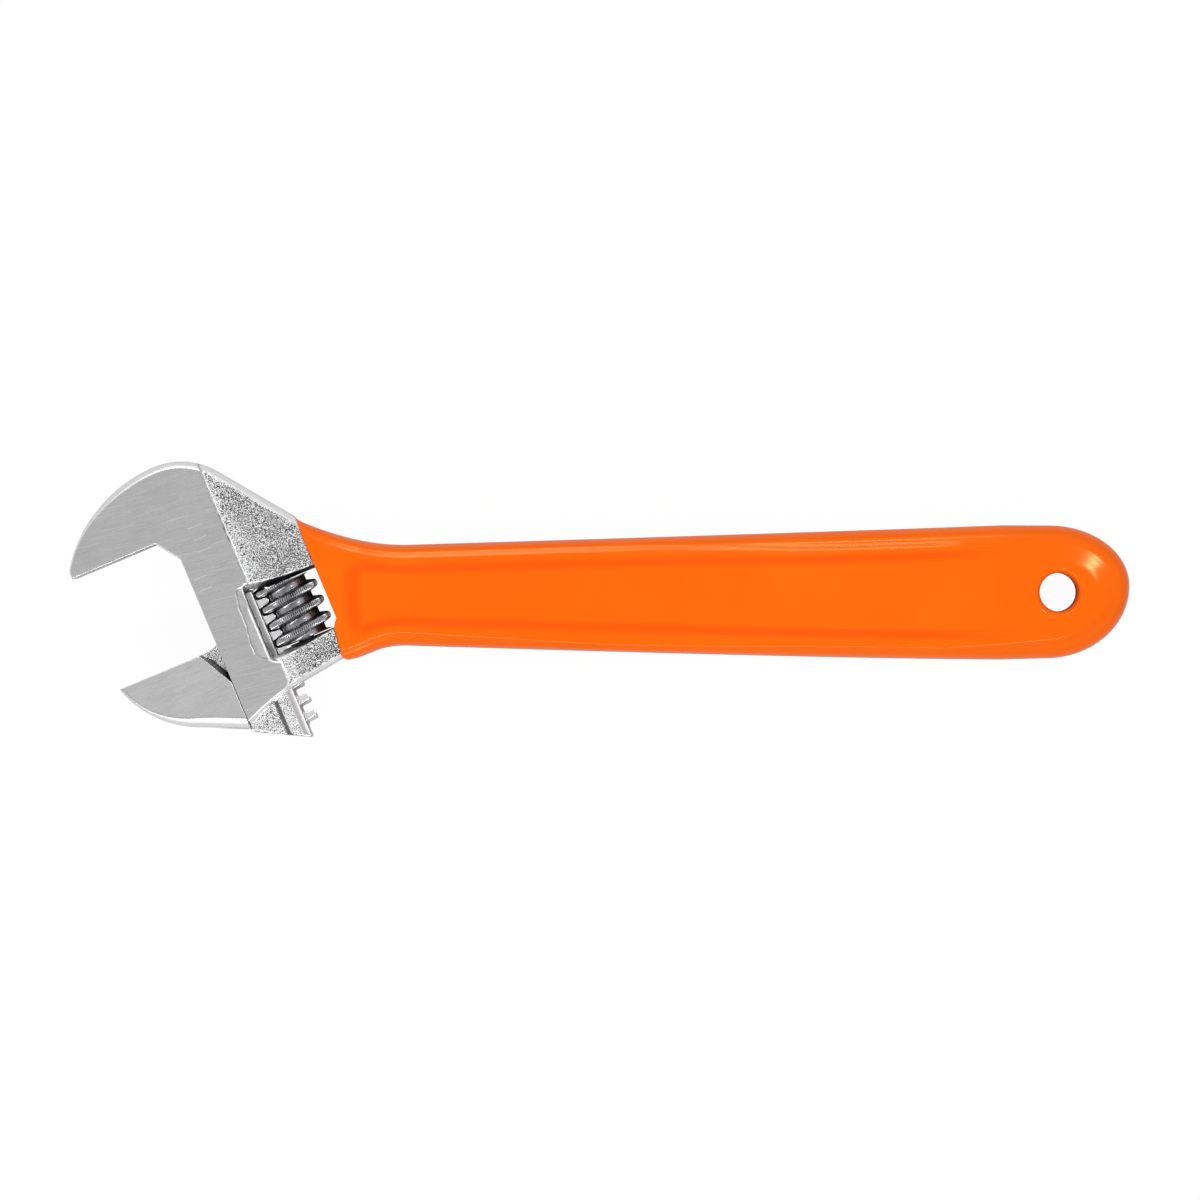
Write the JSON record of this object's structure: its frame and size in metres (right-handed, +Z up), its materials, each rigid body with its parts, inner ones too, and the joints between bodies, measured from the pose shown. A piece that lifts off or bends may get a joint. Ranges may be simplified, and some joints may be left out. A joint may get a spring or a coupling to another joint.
{
  "type": "adjustable wrench",
  "caption": "Adjustable wrench with an angled open head, a sliding lower jaw moved by a worm, and a dipped vinyl grip with a hanging hole.",
  "frame": {"origin": "middle of the footprint on the surface that the wrench lies on", "axes": "+X along the handle towards its hanging hole, +Y across the handle towards the fixed jaw's side, +Z up out of the side that faces up"},
  "size_m": [0.2562, 0.0668, 0.0156],
  "materials": {
    "forged_steel": "satin chrome over forged steel, sides of the head ground and brushed",
    "jaw_steel": "satin chrome over forged steel, sides ground and brushed",
    "worm_steel": "dark polished steel, ridge crests serrated for the thumb",
    "screw_steel": "plain turned steel",
    "spring_steel": "spring wire",
    "vinyl": "glossy dipped orange vinyl"
  },
  "bodies": {
    "handle_assembly": {"body": "forged_steel", "grip": "vinyl", "worm_screw": "screw_steel", "worm_spring": "spring_steel"},
    "jaw": {"movable_jaw": "jaw_steel"},
    "knurl": {"worm": "worm_steel"}
  },
  "joints": [
    {"name": "jaw_slide", "type": "slide", "parent": "handle_assembly", "child": "jaw", "axis": [-0.3827, 0.9239, 0], "range_m": [-0.0015, 0.0289]},
    {"name": "worm_spin", "type": "hinge", "parent": "handle_assembly", "child": "knurl", "pos_m": [-0.07406, -0.00262, 0.00779], "axis": [0.3827, -0.9239, 0], "range_deg": [-128.5, 2477.1]}
  ],
  "couplings": [
    {"joint": "jaw_slide", "follows": "worm_spin", "m_per_rad": 0.00066845}
  ]
}
